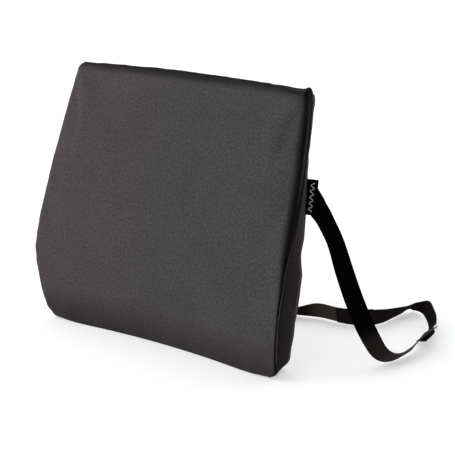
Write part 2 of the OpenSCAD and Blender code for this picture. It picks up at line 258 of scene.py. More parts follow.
def tape_material(name, colour, angle):
    """Tape with fine slanted lines, which carries the zip's teeth."""
    m, nodes, links, bsdf = tree(name)
    where = nodes.new("ShaderNodeTexCoord").outputs["Object"]
    turn = nodes.new("ShaderNodeMapping")
    turn.inputs["Rotation"].default_value = (0, math.radians(angle), 0)
    links.new(where, turn.inputs["Vector"])
    lines = wave(nodes, links, turn.outputs[0], 0.0011, "X")
    grain = noise_node(nodes, links, where, 1500, 2)
    darker = tuple(c * 0.6 for c in colour)
    lighter = tuple(c * 1.5 for c in colour)
    tone = ramp(nodes, links, lines, [(0.0, darker), (1.0, lighter)])
    links.new(tone, bsdf.inputs["Base Color"])
    bsdf.inputs["Roughness"].default_value = 0.8
    n = bump(nodes, links, lines, 0.7, 0.0002)
    links.new(bump(nodes, links, grain, 0.2, 0.0001, n), bsdf.inputs["Normal"])
    return m


def seam_material(name, dark, light):
    """The folded fabric of a sewn seam, with a painted highlight where lit is 1."""
    m, nodes, links, bsdf = tree(name)
    where = nodes.new("ShaderNodeTexCoord").outputs["Object"]
    grain = noise_node(nodes, links, where, 2200, 2)
    base = mix_colour(nodes, links, attribute(nodes, "lit"), dark, light)
    links.new(speckled(nodes, links, base, grain, 0.75, 1.25), bsdf.inputs["Base Color"])
    bsdf.inputs["Roughness"].default_value = 0.85
    bsdf.inputs["Specular IOR Level"].default_value = 0.1
    links.new(bump(nodes, links, grain, 0.5, 0.0002), bsdf.inputs["Normal"])
    return m


seam_cloth = seam_material("seam_fold", (0.006, 0.005, 0.005), (0.068, 0.058, 0.062))
front_fabric = knit(
    "front_knit", (0.0750, 0.0640, 0.0672), (0.0615, 0.0615, 0.0622),
    rough=0.85, sheen=0.04, gloss=0.06, wale=0.0015, course=0.0011, depth=0.00025, mottle=0.36,
)
side_fabric = knit(
    "side_weave", (0.129, 0.105, 0.113), (0.129, 0.105, 0.113),
    rough=0.9, sheen=0.0, gloss=0.03, wale=0.0011, course=0.0011, depth=0.00015, mottle=0.12,
)
back_fabric = knit(
    "back_weave", (0.042, 0.038, 0.040), (0.042, 0.038, 0.040),
    rough=0.85, sheen=0.05, gloss=0.1, wale=0.0012, course=0.0012, depth=0.0002, mottle=0.12,
)
strap_black = webbing(
    "webbing_black", (0.0006, 0.0005, 0.0005), (0.012, 0.009, 0.0085), rough=0.95, rib=0.0019, specular=0.03
)
strap_brown = webbing(
    "webbing_brown", (0.0042, 0.0030, 0.0031), (0.055, 0.042, 0.036), rough=0.95, rib=0.0019, specular=0.03
)
loop_tape = webbing(
    "loop_tape", (0.0006, 0.0005, 0.0005), (0.036, 0.026, 0.026), rough=0.95, rib=0.0011, specular=0.03
)
hook_tape = webbing(
    "hook_tape", (0.0125, 0.0085, 0.0088), (0.0080, 0.0045, 0.0040), rough=0.95, rib=0.0013, specular=0.03
)
thread = plain("thread", (0.018, 0.016, 0.016), 0.7, speckle=0.3, scale=3000)
label_cloth = webbing(
    "label_satin", (0.0010, 0.0010, 0.0010), (0.004, 0.004, 0.004), rough=0.7, rib=0.0006, specular=0.05
)
motif_thread = plain("motif_thread", (0.55, 0.54, 0.53), 0.7, speckle=0.3, scale=4000)
zip_cloth = tape_material("zip_tape_weave", (0.016, 0.015, 0.015), 30)
zip_nylon = plain("zip_nylon", (0.018, 0.017, 0.017), 0.35, speckle=0.1)
zip_metal = plain("zip_enamel", (0.030, 0.030, 0.032), 0.35, metallic=0.6, speckle=0.15, scale=900, coat=0.3)
foam_material = plain("foam_cells", (0.72, 0.60, 0.34), 0.95, speckle=0.2, scale=700, depth=0.0006)


# ---------------------------------------------------------------- smooth lines


def line_at(line, s):
    """Value of a line at s, smooth and with no overshoot between its stations."""
    x = np.array([p[0] for p in line], float)
    y = np.array([p[1] for p in line], float)
    h = np.diff(x)
    d = np.diff(y) / h
    m = np.empty(len(x))
    m[0], m[-1] = d[0], d[-1]
    for k in range(1, len(x) - 1):
        m[k] = 0 if d[k - 1] * d[k] <= 0 else 2 * d[k - 1] * d[k] / (d[k - 1] + d[k])
    s = np.asarray(s, float)
    k = np.clip(np.searchsorted(x, s, side="right") - 1, 0, len(x) - 2)
    t = (s - x[k]) / h[k]
    return (
        (2 * t**3 - 3 * t**2 + 1) * y[k]
        + (t**3 - 2 * t**2 + t) * h[k] * m[k]
        + (3 * t**2 - 2 * t**3) * y[k + 1]
        + (t**3 - t**2) * h[k] * m[k + 1]
    )


def smoothstep(t):
    t = np.clip(t, 0, 1)
    return t * t * (3 - 2 * t)


# ---------------------------------------------------------------- the cushion

# The lines of the CAD model, in millimetres
HEIGHT, BACK_DROP, BACK_INSET = 320, 10, 6
TOP_R, BASE_R, ROLL_R, DRAW, DISH, CROWN, TOP_CROWN = 8, 16, 10, 8, 9, 8, 3
SIDE = [(0, 177), (40, 182), (110, 188), (200, 185), (270, 180), (320, 174)]
FRONT = [(0, -31), (30, -34), (80, -37), (120, -32), (160, -22), (220, -1), (280, 21), (320, 37)]
ROLL = [(0, 4), (30, 3), (90, 3), (130, 8), (180, 17), (250, 18), (320, 11)]
BACK = [(0, 13), (60, 13), (110, 16), (160, 25), (210, 34), (260, 47), (310, 65)]
HOLLOW = [(0, 1.6), (60, 1), (160, 0.75), (320, 0.5)]
SWELL = [(0, 0), (60, 0), (125, 1), (200, 0.8), (310, 0.3)]
ZIP_LOW, ZIP_HIGH = 28 / 310, 38 / 310


def corner_cut(r):
    radius = np.where(r < 0.5, BASE_R, TOP_R)
    d = np.clip(radius - np.minimum(r, 1 - r) * HEIGHT, 0, radius)
    return radius - np.sqrt(radius**2 - d**2)


def half_width(r):
    return line_at(SIDE, r * 320) - corner_cut(r)


def front_face(a, r):
    w = half_width(r)
    edge = np.minimum((1 - np.abs(a)) * w, np.minimum(r, 1 - r) * HEIGHT)
    t = np.clip(1 - edge / ROLL_R, 0, 1)
    roll = 1 - np.sqrt(1 - t * t)
    side = np.maximum(0, np.abs(a) - 0.72) / 0.28
    low = np.maximum(0, 1 - r / 0.16)
    s = r * 320
    y = line_at(FRONT, s) + DISH * line_at(HOLLOW, s) * (1 - a * a) + line_at(ROLL, s) * roll
    y = y + DRAW * side**2 * low**2
    return np.stack([a * w, y, r * (HEIGHT + TOP_CROWN * (1 - a * a))], -1)


def back_face(a, r):
    w = half_width(r) - BACK_INSET
    s = r * 310
    swell = (1 - np.abs(a) ** 3) * (1 - np.abs(2 * r - 1) ** 6)
    y = line_at(BACK, s) + CROWN * line_at(SWELL, s) * swell
    return np.stack([a * w, y, r * (HEIGHT - BACK_DROP)], -1)


COLS = 64
spread = np.linspace(-1, 1, COLS + 1)
columns = 0.78 * np.sin(math.pi * spread / 2) + 0.22 * spread
low_rows = [BASE_R * (1 - math.cos(math.radians(11.25 * i))) / HEIGHT for i in range(9)] + [22 / 310]
top_rows = [1 - TOP_R * (1 - math.cos(math.radians(15 * i))) / HEIGHT for i in range(6, -1, -1)]
near_top = [1 - 12 / HEIGHT, 1 - 17 / HEIGHT, 1 - 23 / HEIGHT]
MID = 38
mid_rows = list(np.linspace(ZIP_HIGH, near_top[-1], MID + 1))
rows = np.array(low_rows + [ZIP_LOW] + mid_rows + near_top[1::-1] + top_rows)
N_ROWS, N_COLS = len(rows), len(columns)
ZIP_ROW = len(low_rows)

grid = np.meshgrid(columns, rows)
front_points = front_face(*grid)
back_points = back_face(*grid)


def loop_index():
    """Row and column of the outline's points, once round from the bottom left."""
    out = [(0, c) for c in range(N_COLS - 1)]
    out += [(r, N_COLS - 1) for r in range(N_ROWS - 1)]
    out += [(N_ROWS - 1, c) for c in range(N_COLS - 1, 0, -1)]
    out += [(r, 0) for r in range(N_ROWS - 1, 0, -1)]
    return out


loop = loop_index()
STRIP = 8
FRONT_AREA, SIDE_AREA, BACK_UPPER, BACK_LOWER, ZIP_STRIP = range(5)
BACK_AREAS = {BACK_UPPER, BACK_LOWER, ZIP_STRIP}
verts, faces, region, uvs = [], [], [], []
front_id = np.arange(N_ROWS * N_COLS).reshape(N_ROWS, N_COLS)
back_id = front_id + N_ROWS * N_COLS
verts += [tuple(p) for p in front_points.reshape(-1, 3)]
verts += [tuple(p) for p in back_points.reshape(-1, 3)]


def arc_lengths(points, axis):
    step = np.linalg.norm(np.diff(points, axis=axis), axis=-1)
    shape = list(points.shape[:2])
    shape[axis] = 1
    return np.concatenate([np.zeros(shape), np.cumsum(step, axis=axis)], axis=axis)


front_v = arc_lengths(front_points, 0)
front_u = front_points[..., 0]
back_v = arc_lengths(back_points, 0)
for r in range(N_ROWS - 1):
    for c in range(N_COLS - 1):
        quad = ((r, c), (r, c + 1), (r + 1, c + 1), (r + 1, c))
        faces.append(tuple(front_id[q] for q in quad))
        region.append(FRONT_AREA)
        uvs.append([(front_u[q], front_v[q[0], N_COLS // 2]) for q in quad])
        quad = ((r, c), (r + 1, c), (r + 1, c + 1), (r, c + 1))
        faces.append(tuple(back_id[q] for q in quad))
        region.append(BACK_LOWER if r < ZIP_ROW else ZIP_STRIP if r == ZIP_ROW else BACK_UPPER)
        uvs.append([(-back_points[q][0], back_v[q[0], N_COLS // 2]) for q in quad])
ring = [[front_id[i, j] for i, j in loop]]
front_loop = np.array([front_points[i, j] for i, j in loop])
back_loop = np.array([back_points[i, j] for i, j in loop])
loop_steps = np.diff(np.vstack([front_loop, front_loop[:1]]), axis=0)
round_length = np.concatenate([[0], np.cumsum(np.linalg.norm(loop_steps, axis=1))])
for k in range(1, STRIP):
    share = k / STRIP
    points = front_loop * (1 - share) + back_loop * share
    first = len(verts)
    verts += [tuple(p) for p in points]
    ring.append([first + i for i in range(len(loop))])
ring.append([back_id[i, j] for i, j in loop])
depth = np.linalg.norm(back_loop - front_loop, axis=1)
for k in range(STRIP):
    for i in range(len(loop)):
        j = (i + 1) % len(loop)
        faces.append((ring[k][j], ring[k][i], ring[k + 1][i], ring[k + 1][j]))
        region.append(SIDE_AREA)
        u0, u1 = round_length[i], round_length[i + 1]
        uvs.append([
            (u1, depth[j] * k / STRIP), (u0, depth[i] * k / STRIP),
            (u0, depth[i] * (k + 1) / STRIP), (u1, depth[j] * (k + 1) / STRIP),
        ])


def mesh_object(name, points, polygons, materials, scale=MM):
    me = bpy.data.meshes.new(name)
    places = [tuple(float(x) * scale for x in p) for p in points]
    me.from_pydata(places, [], [tuple(int(i) for i in f) for f in polygons])
    for m in materials:
        me.materials.append(m)
    ob = bpy.data.objects.new(name, me)
    bpy.context.collection.objects.link(ob)
    return ob


def set_uv(me, corners):
    layer = me.uv_layers.new(name="weave")
    flat = np.array([c for f in corners for c in f], float) * MM
    layer.data.foreach_set("uv", flat.astype(np.float32).ravel())


def set_value(me, name, values):
    at = me.attributes.get(name) or me.attributes.new(name, "FLOAT", "POINT")
    at.data.foreach_set("value", np.asarray(values, np.float32))


def coordinates(me):
    co = np.empty(len(me.vertices) * 3, np.float32)
    me.vertices.foreach_get("co", co)
    return co.reshape(-1, 3).astype(float)


def set_coordinates(me, co):
    me.vertices.foreach_set("co", np.asarray(co, np.float32).ravel())
    me.update()


def vertex_normals(me):
    return np.array([v.normal[:] for v in me.vertices])


def shade_smooth(me):
    for p in me.polygons:
        p.use_smooth = True


def turn_faces_out(me):
    bm = bmesh.new()
    bm.from_mesh(me)
    bmesh.ops.recalc_face_normals(bm, faces=bm.faces)
    bm.to_mesh(me)
    bm.free()


def apply_modifiers(ob):
    deps = bpy.context.evaluated_depsgraph_get()
    evaluated = ob.evaluated_get(deps)
    me = bpy.data.meshes.new_from_object(evaluated, preserve_all_data_layers=True, depsgraph=deps)
    old = ob.data
    name = old.name
    ob.modifiers.clear()
    ob.data = me
    bpy.data.meshes.remove(old)
    me.name = name


cover = mesh_object("cushion_cover", verts, faces, [front_fabric, side_fabric, back_fabric])
set_uv(cover.data, uvs)
# Which of the cover's three materials each area has
slot_of = {FRONT_AREA: 0, SIDE_AREA: 1, BACK_UPPER: 2, BACK_LOWER: 2, ZIP_STRIP: 2}
cover.data.polygons.foreach_set("material_index", [slot_of[k] for k in region])
kind = cover.data.attributes.new("region", "INT", "FACE")
kind.data.foreach_set("value", region)

# How firmly each point is held in the simulation: seams, zip and base are held
seam_points = set(ring[0]) | set(ring[-1])
hold = np.zeros(len(verts))
hold[list(seam_points)] = 1
hold[back_id[: ZIP_ROW + 3].ravel()] = 1
bottom = [i for k in ring for i in k[: N_COLS - 1]]
hold[bottom] = 1

# It starts slightly smaller, because the pad swells
START_IN = 1.0 * MM
LAST_FRAME = 20
rest = coordinates(cover.data)
normals = vertex_normals(cover.data)
set_coordinates(cover.data, rest - normals * START_IN * (1 - hold)[:, None])
PRESSURE, CAP = 3.0, 2.6 * MM
group = cover.vertex_groups.new(name="hold")
for i, h in enumerate(hold):
    group.add([i], float(h), "REPLACE")
cloth = cover.modifiers.new("cloth", "CLOTH")
cs = cloth.settings
cs.quality = 6
cs.mass = 0.35
cs.tension_stiffness = cs.compression_stiffness = 25
cs.shear_stiffness = 8
cs.bending_stiffness = 1.5
cs.use_pressure = True
cs.uniform_pressure_force = PRESSURE
cs.effector_weights.gravity = 0
cs.vertex_group_mass = "hold"
cs.pin_stiffness = 5
cloth.point_cache.frame_start = 1
cloth.point_cache.frame_end = LAST_FRAME
for f in range(1, LAST_FRAME + 1):
    bpy.context.scene.frame_set(f)
apply_modifiers(cover)
bpy.context.scene.frame_set(1)
moved = coordinates(cover.data) - rest
far = np.linalg.norm(moved, axis=1, keepdims=True)
set_coordinates(cover.data, rest + moved * np.minimum(1, CAP / np.maximum(far, 1e-9)))

# One subdivision, then the seams and the unevenness of sewn fabric
cover.vertex_groups.clear()
sub = cover.modifiers.new("smooth", "SUBSURF")
sub.levels = sub.render_levels = 1
sub.uv_smooth = "PRESERVE_BOUNDARIES"
apply_modifiers(cover)

me = cover.data
co = coordinates(me)
normals = vertex_normals(me)
x, y, z = co[:, 0] / MM, co[:, 1] / MM, co[:, 2] / MM
regions_at = np.empty(len(me.polygons), np.int32)
me.attributes["region"].data.foreach_get("value", regions_at)
touch = [set() for _ in range(len(me.vertices))]
for p, g in zip(me.polygons, regions_at):
    for v in p.vertices:
        touch[v].add(int(g))
is_front_seam = np.array([{FRONT_AREA, SIDE_AREA} <= s for s in touch])
is_back_seam = np.array([SIDE_AREA in s and bool(s & BACK_AREAS) for s in touch])


def nearest(points, others):
    """Distance from each point to the nearest of others."""
    out = np.empty(len(points))
    for i in range(0, len(points), 2000):
        d = np.linalg.norm(points[i : i + 2000, None] - others[None], axis=2)
        out[i : i + 2000] = d.min(1)
    return out


to_front = nearest(co, co[is_front_seam]) / MM
to_back = nearest(co, co[is_back_seam]) / MM
groove = np.exp(-((to_front / 1.6) ** 2)) + 0.8 * np.exp(-((to_back / 1.6) ** 2))
pillow = 0.9 * smoothstep(to_front / 2) * np.exp(-np.maximum(0, to_front - 2) / 5)
flat_base = z < 1.5


def spot(at_x, wide, at_z, high):
    """1 at one place on the right of the cushion, and less further away."""
    return np.exp(-(((x - at_x) / wide) ** 2 + ((z - at_z) / high) ** 2))


# Small unevenness of sewn fabric: puckers near the seams and broad soft waves
WAVE, PUCKER = 38, 9
wobble = np.array([noise.noise(Vector((a / WAVE, b / WAVE, c / WAVE))) for a, b, c in zip(x, y, z)])
pucker = np.array([noise.noise(Vector((a / PUCKER, b / PUCKER, c / PUCKER + 7))) for a, b, c in zip(x, y, z)])
near_seam = np.exp(-np.minimum(to_front, to_back) / 9)
# How far the right back seam is drawn in, in millimetres: [height, distance]. Listed from
# measured differences between the outlines of the render and the photo.
DRAWN_IN = [
    (0, 2), (25, 1.8), (47, 1), (92, -0.7), (115, -1.8), (137, 2.4), (160, 1.3), (195, 1), (227, 2.4),
    (250, 3.2), (295, 3.2), (320, 1),
]
# The top right corner of the seam stands up a little
ear = spot(172, 9, 318, 7) * (y < 75)
out = -0.9 * groove + 0.6 * pillow + 0.7 * wobble + 0.9 * pucker * near_seam
out = np.where(flat_base, 0, out)
co = co + normals * (out * MM)[:, None]
drawn = smoothstep((x - 150) / 25) * np.exp(-to_back / 10) * line_at(DRAWN_IN, np.clip(z, 0, 320))
flap = spot(170, 8, 308, 7) * np.exp(-to_back / 4)
full = spot(172, 12, 9, 9) * np.exp(-to_front / 14)
shift_x = full * 1.6 - drawn - ear * 0.6 - flap * 1.4
shift_y = -ear * 0.6 - full * 1.2
shift_z = ear * 5 + flap * 4
co += np.stack([shift_x, shift_y, shift_z], -1) * MM
co[:, 2] = np.maximum(co[:, 2], 0.0)
set_coordinates(me, co)

# Shade: how much of the fabric's colour shows, from 0 to 1, painted by place to look as in the photo
roll_width = line_at(ROLL, np.clip(z, 0, 320)) * 0.8 + 1.5
turned = 1 - smoothstep((to_front / roll_width - 0.5) / 0.6)
right_side = smoothstep((x - 120) / 40)
share = to_front / np.maximum(to_front + to_back, 1e-6)
top_edge = smoothstep((z - 310) / 10.5)
low_edge = smoothstep((60 - z) / 60)
front_shade = (1 - 0.97 * turned * right_side) * (1 - 0.86 * top_edge) * (1 - 0.55 * low_edge)
wide = smoothstep((24 - to_front) / 20) * right_side * smoothstep((z - 225) / 50)
front_shade = front_shade * (1 - 0.35 * wide)
corner = spot(168, 8, 317, 9)
# The fabric puffs up beside the seam and catches a little light
lip = 0.65 * np.exp(-(((to_front - 3.2) / 1.9) ** 2)) * right_side * smoothstep((z - 185) / 60)
front_shade = np.maximum(front_shade, lip) * (1 - 0.88 * corner)
front_shade = front_shade * (1 - 0.85 * right_side * np.exp(-((to_front / 1.3) ** 2)))
# A painted highlight along the lower back seam, where the rim catches light from behind
rim_highlight = np.exp(-((to_back / 3.6) ** 2)) * smoothstep((218 - z) / 15) * smoothstep((z + 2) / 12)
# How pale the right side strip is: [height, tone]. Listed from measured brightness in the photo.
# Painted light and shade on the side strip: dark low down, paler towards the top, and evenly dark away from
# the right side.
SIDE_LIGHT_LEVELS = [(0, 0.16), (130, 0.18), (165, 0.28), (190, 0.45), (210, 0.5), (235, 0.75), (270, 1), (320, 1)]
side_light = line_at(SIDE_LIGHT_LEVELS, z)
side_light = 0.18 + (side_light - 0.18) * smoothstep((x - 150) / 22)
side_shade = side_light * (0.75 + 0.45 * share) + 0.8 * rim_highlight
on_side = np.array([SIDE_AREA in s and FRONT_AREA not in s for s in touch])
shade = np.where(on_side, side_shade, front_shade)
shade = shade * (1 - 0.5 * np.exp(-((to_front / 1.6) ** 2)))
set_value(me, "shade", shade)
shade_smooth(me)

# The strip between the zip's stops is open, so that its tapes and teeth show
ZIP_HALF = 0.168
bm = bmesh.new()
bm.from_mesh(me)
layer = bm.faces.layers.int["region"]
opening = [f for f in bm.faces if f[layer] == ZIP_STRIP and abs(f.calc_center_median().x) < ZIP_HALF]
bmesh.ops.delete(bm, geom=opening, context="FACES_ONLY")
bm.to_mesh(me)
bm.free()
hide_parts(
    "front_panel", "gusset_right", "gusset_left", "gusset_top", "gusset_bottom", "back_panel_upper",
    "back_panel_lower",
)
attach(cover, "cushion")

# The foam inside, a closed copy of the shape under the cover
FOAM_INSET, FOAM_LOW = 6.5, 0.0035
foam = mesh_object("foam_block", verts, faces, [foam_material])
inner = coordinates(foam.data)
inner_normals = vertex_normals(foam.data)
inner = inner - inner_normals * FOAM_INSET * MM
inner[:, 2] = np.clip(inner[:, 2], FOAM_LOW, None)
set_coordinates(foam.data, inner)
shade_smooth(foam.data)
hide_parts("foam_core")
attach(foam, "cushion")


# ---------------------------------------------------------------- seams


def tube(name, points, radius, material, closed=False, sides=8, flat=1.0):
    """A thin round or flattened line of folded fabric."""
    p = np.array(points, float)
    n = len(p)
    if closed:
        tangent = np.roll(p, -1, 0) - np.roll(p, 1, 0)
    else:
        tangent = np.gradient(p, axis=0)
    tangent /= np.linalg.norm(tangent, axis=1, keepdims=True)
    ref = np.array([0.0, 1.0, 0.0])
    side = np.cross(tangent, ref)
    short = np.linalg.norm(side, axis=1) < 1e-4
    side[short] = [1, 0, 0]
    side /= np.linalg.norm(side, axis=1, keepdims=True)
    up = np.cross(side, tangent)
    points_out, polygons = [], []
    for i in range(n):
        for k in range(sides):
            ang = 2 * math.pi * k / sides
            rim = math.cos(ang) * side[i] + flat * math.sin(ang) * up[i]
            points_out.append(p[i] + radius * rim)
    for i in range(n if closed else n - 1):
        j = (i + 1) % n
        for k in range(sides):
            m = (k + 1) % sides
            polygons.append((i * sides + k, i * sides + m, j * sides + m, j * sides + k))
    if not closed:
        polygons.append(tuple(range(sides))[::-1])
        polygons.append(tuple((n - 1) * sides + k for k in range(sides)))
    ob = mesh_object(name, points_out, polygons, [material], scale=1.0)
    turn_faces_out(ob.data)
    shade_smooth(ob.data)
    return ob


edge_faces = {}
for p in cover.data.polygons:
    vs = list(p.vertices)
    for a, b in zip(vs, vs[1:] + vs[:1]):
        edge_faces.setdefault((min(a, b), max(a, b)), []).append(p.index)
region_now = np.empty(len(cover.data.polygons), np.int32)
cover.data.attributes["region"].data.foreach_get("value", region_now)
co = coordinates(cover.data)
front_edges, back_edges = [], []
for e, fs in edge_faces.items():
    kinds = {int(region_now[f]) for f in fs}
    if kinds == {FRONT_AREA, SIDE_AREA}:
        front_edges.append(e)
    elif SIDE_AREA in kinds and kinds & BACK_AREAS:
        back_edges.append(e)


def walk(edges):
    """The points of a closed line of edges, in order round the cushion."""
    links = {}
    for a, b in edges:
        links.setdefault(a, []).append(b)
        links.setdefault(b, []).append(a)
    start = min(links, key=lambda i: (round(co[i][2], 4), co[i][0]))
    path, here, last = [start], start, None
    while True:
        nxt = [k for k in links[here] if k != last]
        if not nxt or nxt[0] == start or len(path) > len(links) + 1:
            return path
        last, here = here, nxt[0]
        path.append(here)


cover_normals = vertex_normals(cover.data)
for name, edges, radius in (("seam_front", front_edges, 0.75), ("seam_back", back_edges, 0.7)):
    path = walk(edges)
    line = co[path] + cover_normals[path] * 0.25 * MM
    for _ in range(2):
        line = (np.roll(line, 1, 0) + 2 * line + np.roll(line, -1, 0)) / 4
    line[:, 2] = np.maximum(line[:, 2], radius * MM)
    seam = tube(name, line, radius * MM, seam_cloth, closed=True)
    tall = coordinates(seam.data)[:, 2] / MM
    if name == "seam_front":
        lit = 0.75 * smoothstep((190 - tall) / 50) * smoothstep((tall - 12) / 20)
    else:
        lit = 1.0 * smoothstep((175 - tall) / 45) * smoothstep((tall - 8) / 40)
    set_value(seam.data, "lit", lit)
    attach(seam, "cushion")


# The folded edges of the back panels, sewn over the zip's tapes, and the dark strip behind the zip
ZIP_Y, ZIP_Z, WELT_OUT, WELT_R = 13.1, 33.0, 4.6, 1.1
GUARD_Y, GUARD_R, GUARD_FLAT = 10.4, 7.5, 0.06
ZIP_STEPS = 85
zip_along = [ZIP_HALF * (2 * i / (ZIP_STEPS - 1) - 1) for i in range(ZIP_STEPS)]
for name, side in (("zip_welt_upper", 1), ("zip_welt_lower", -1)):
    line = []
    for along in zip_along:
        sway = 0.12 * noise.noise(Vector((along / (12 * MM), side * 3.0, 0)))
        line.append((along, ZIP_Y * MM, (ZIP_Z + side * (WELT_OUT + sway)) * MM))
    welt = tube(name, line, WELT_R * MM, seam_cloth, flat=0.5)
    set_value(welt.data, "lit", np.full(len(welt.data.vertices), 0.35))
    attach(welt, "cushion")
line = [(along, GUARD_Y * MM, ZIP_Z * MM) for along in zip_along]
guard = tube("zip_guard", line, GUARD_R * MM, seam_cloth, flat=GUARD_FLAT)
set_value(guard.data, "lit", np.zeros(len(guard.data.vertices)))
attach(guard, "cushion")


# ---------------------------------------------------------------- straps

# Lower edge of the webbing and the direction across it, as in the CAD model, in millimetres.
# These stations are not all chosen by hand. Right 0 to 14 and left 13 to 26 are rounded results of a
# least-squares fit to the strap's edges in the photo.
RIGHT = [
    (181, 32, 192, 0, 0.18, 0.98), (178, 36.5, 190, 0.29, 0.18, 0.94), (185, 32, 181, 0.4, 0.46, 0.8),
    (190.5, 36.5, 169, 0.32, 0.81, 0.49), (197, 46, 145.5, 0.36, 0.87, 0.35),
    (201.5, 56.5, 111, 0.59, 0.75, 0.31), (211, 63, 77, 0.67, 0.66, 0.34),
    (221, 69.5, 47.5, 0.72, 0.56, 0.41), (231.5, 75, 25.5, 0.74, 0.41, 0.53),
    (240, 80.5, 12, 0.73, 0.16, 0.66), (246.5, 91.5, 4.5, 0.72, -0.07, 0.69),
    (251.5, 105.5, 2.5, 0.71, -0.19, 0.68), (255, 121.5, 4, 0.67, -0.2, 0.71),
    (257, 137.5, 6, 0.59, -0.14, 0.8), (255.5, 153, 9, 0.59, -0.04, 0.81),
    (254, 169, 10, 0.69, 0.03, 0.72), (252, 185, 10, 0.72, -0.1, 0.69),
]
LEFT = [
    (-179, 33, 191.5, 0, 0.19, 0.98), (-181, 39.5, 186, 0, 0.3, 0.95),
    (-181, 50, 174.5, 0.03, 0.45, 0.89), (-175, 69, 151, 0.15, 0.65, 0.75),
    (-162, 93, 109, 0.4, 0.65, 0.65), (-140, 116, 67, 0.56, 0.56, 0.61),
    (-108, 135, 32, 0.51, 0.41, 0.76), (-65, 149, 10, 0.25, 0.15, 0.96), (-15, 154, 2, 0.2, -0.32, 0.93),
    (34, 162, 2, 0.15, -0.58, 0.8), (77, 166, 2, 0.2, -0.7, 0.68), (107, 175, 2, 0.05, -0.3, 0.95),
    (134, 176, 2, 0.03, -0.29, 0.96), (153.5, 180.5, 1.5, 0.03, -0.21, 0.98),
    (171.5, 192.5, 1.5, 0.12, -0.12, 0.99), (179, 208.5, 2, 0.35, -0.11, 0.93),
    (180.5, 228, 2.5, 0.55, -0.16, 0.82), (182, 247.5, 3, 0.67, -0.22, 0.71),
    (184, 262, 5.5, 0.72, -0.29, 0.63), (190.5, 268.5, 6.5, 0.71, -0.35, 0.61),
    (201.5, 266.5, 7.5, 0.69, -0.41, 0.59), (214.5, 257, 8, 0.65, -0.52, 0.56),
    (229, 240.5, 7, 0.64, -0.58, 0.5), (241.5, 222, 5, 0.59, -0.64, 0.49),
    (247, 206.5, 4, 0.56, -0.63, 0.54), (249.5, 193.5, 2.5, 0.73, -0.46, 0.49),
    (249, 172.5, 2, 0.78, -0.51, 0.35),
]
STRAP_W, STRAP_T, STRAP_GAP = 22.0, 1.5, 0.1
ACROSS = 10
RIGHT_WEB_END, RIGHT_TAPE_START = 7.6, 6.2
LEFT_WEB_END, LEFT_TAPE_START = 14.1, 12.0


def route_at(route, u):
    """The route on a smooth curve through its stations, at u counted in stations."""
    p = np.array(route, float)
    u = np.clip(np.asarray(u, float), 0, len(p) - 1)
    k = np.minimum(np.floor(u).astype(int), len(p) - 2)
    t = (u - k)[:, None]
    p0, p1, p2, p3 = p[np.maximum(k - 1, 0)], p[k], p[k + 1], p[np.minimum(k + 2, len(p) - 1)]
    square = 2 * p0 - 5 * p1 + 4 * p2 - p3
    cube = 3 * p1 - p0 - 3 * p2 + p3
    return (2 * p1 + (p2 - p0) * t + square * t**2 + cube * t**3) / 2


def strap_middle(route, u):
    s = route_at(route, u)
    side = s[:, 3:] / np.linalg.norm(s[:, 3:], axis=1, keepdims=True)
    return s[:, :3] + side * STRAP_W / 2, side


def strap_frames(route, u):
    """The middle of the webbing at u, the direction across it and the direction out of its face."""
    u = np.asarray(u, float)
    last = len(route) - 1
    mid, side = strap_middle(route, u)
    ahead, _ = strap_middle(route, np.minimum(u + 0.05, last))
    behind, _ = strap_middle(route, np.maximum(u - 0.05, 0))
    along = ahead - behind
    along /= np.linalg.norm(along, axis=1, keepdims=True)
    normal = np.cross(side, along)
    slant = np.linalg.norm(normal, axis=1, keepdims=True)
    return mid, side / slant, normal / slant


def strap_band(name, route, start, end, base, top, material, tone, pale):
    """A flat band with rounded selvages. tone(u) is how worn it is, pale(u) how light its selvages are."""
    steps = max(8, int((end - start) * 14))
    u = np.linspace(start, end, steps + 1)
    mid, across, lift = strap_frames(route, u)
    along_mm = np.concatenate([[0], np.cumsum(np.linalg.norm(np.diff(mid, axis=0), axis=1))])
    low, high = -STRAP_W / 2, STRAP_W / 2
    half = (top - base) / 2
    centre = (top + base) / 2
    profile, rims = [], []
    for i in range(ACROSS + 1):
        q = low + half * 0.9 + (high - low - 1.8 * half) * i / ACROSS
        profile.append((q, centre + half))
    for i in range(1, 4):
        ang = math.pi / 2 - math.pi * i / 4
        profile.append((high - half * 0.9 + half * 0.9 * math.cos(ang), centre + half * math.sin(ang)))
        rims.append(len(profile) - 1)
    for i in range(ACROSS + 1):
        q = high - half * 0.9 - (high - low - 1.8 * half) * i / ACROSS
        profile.append((q, centre - half))
    for i in range(1, 4):
        ang = -math.pi / 2 - math.pi * i / 4
        profile.append((low + half * 0.9 + half * 0.9 * math.cos(ang), centre + half * math.sin(ang)))
        rims.append(len(profile) - 1)
    n = len(profile)
    points, polygons, corners = [], [], []
    for i in range(len(u)):
        for q, h in profile:
            points.append(mid[i] + across[i] * q + lift[i] * h)
    for i in range(len(u) - 1):
        for k in range(n):
            m = (k + 1) % n
            polygons.append((i * n + k, i * n + m, (i + 1) * n + m, (i + 1) * n + k))
            here, there = profile[k][0], profile[m][0]
            v0, v1 = along_mm[i], along_mm[i + 1]
            corners.append([(here, v0), (there, v0), (there, v1), (here, v1)])
    polygons.append(tuple(range(n))[::-1])
    corners.append([(profile[k][0], along_mm[0]) for k in range(n)][::-1])
    polygons.append(tuple((len(u) - 1) * n + k for k in range(n)))
    corners.append([(profile[k][0], along_mm[-1]) for k in range(n)])
    ob = mesh_object(name, points, polygons, [material])
    set_uv(ob.data, corners)
    set_value(ob.data, "tone", np.repeat([tone(s) for s in u], n))
    rim = np.zeros(n)
    rim[rims] = 1
    set_value(ob.data, "edge", np.outer([pale(s) for s in u], rim).ravel())
    turn_faces_out(ob.data)
    shade_smooth(ob.data)
    return ob


def place_at(route, u):
    return strap_frames(route, np.array([u]))[0][0] * MM


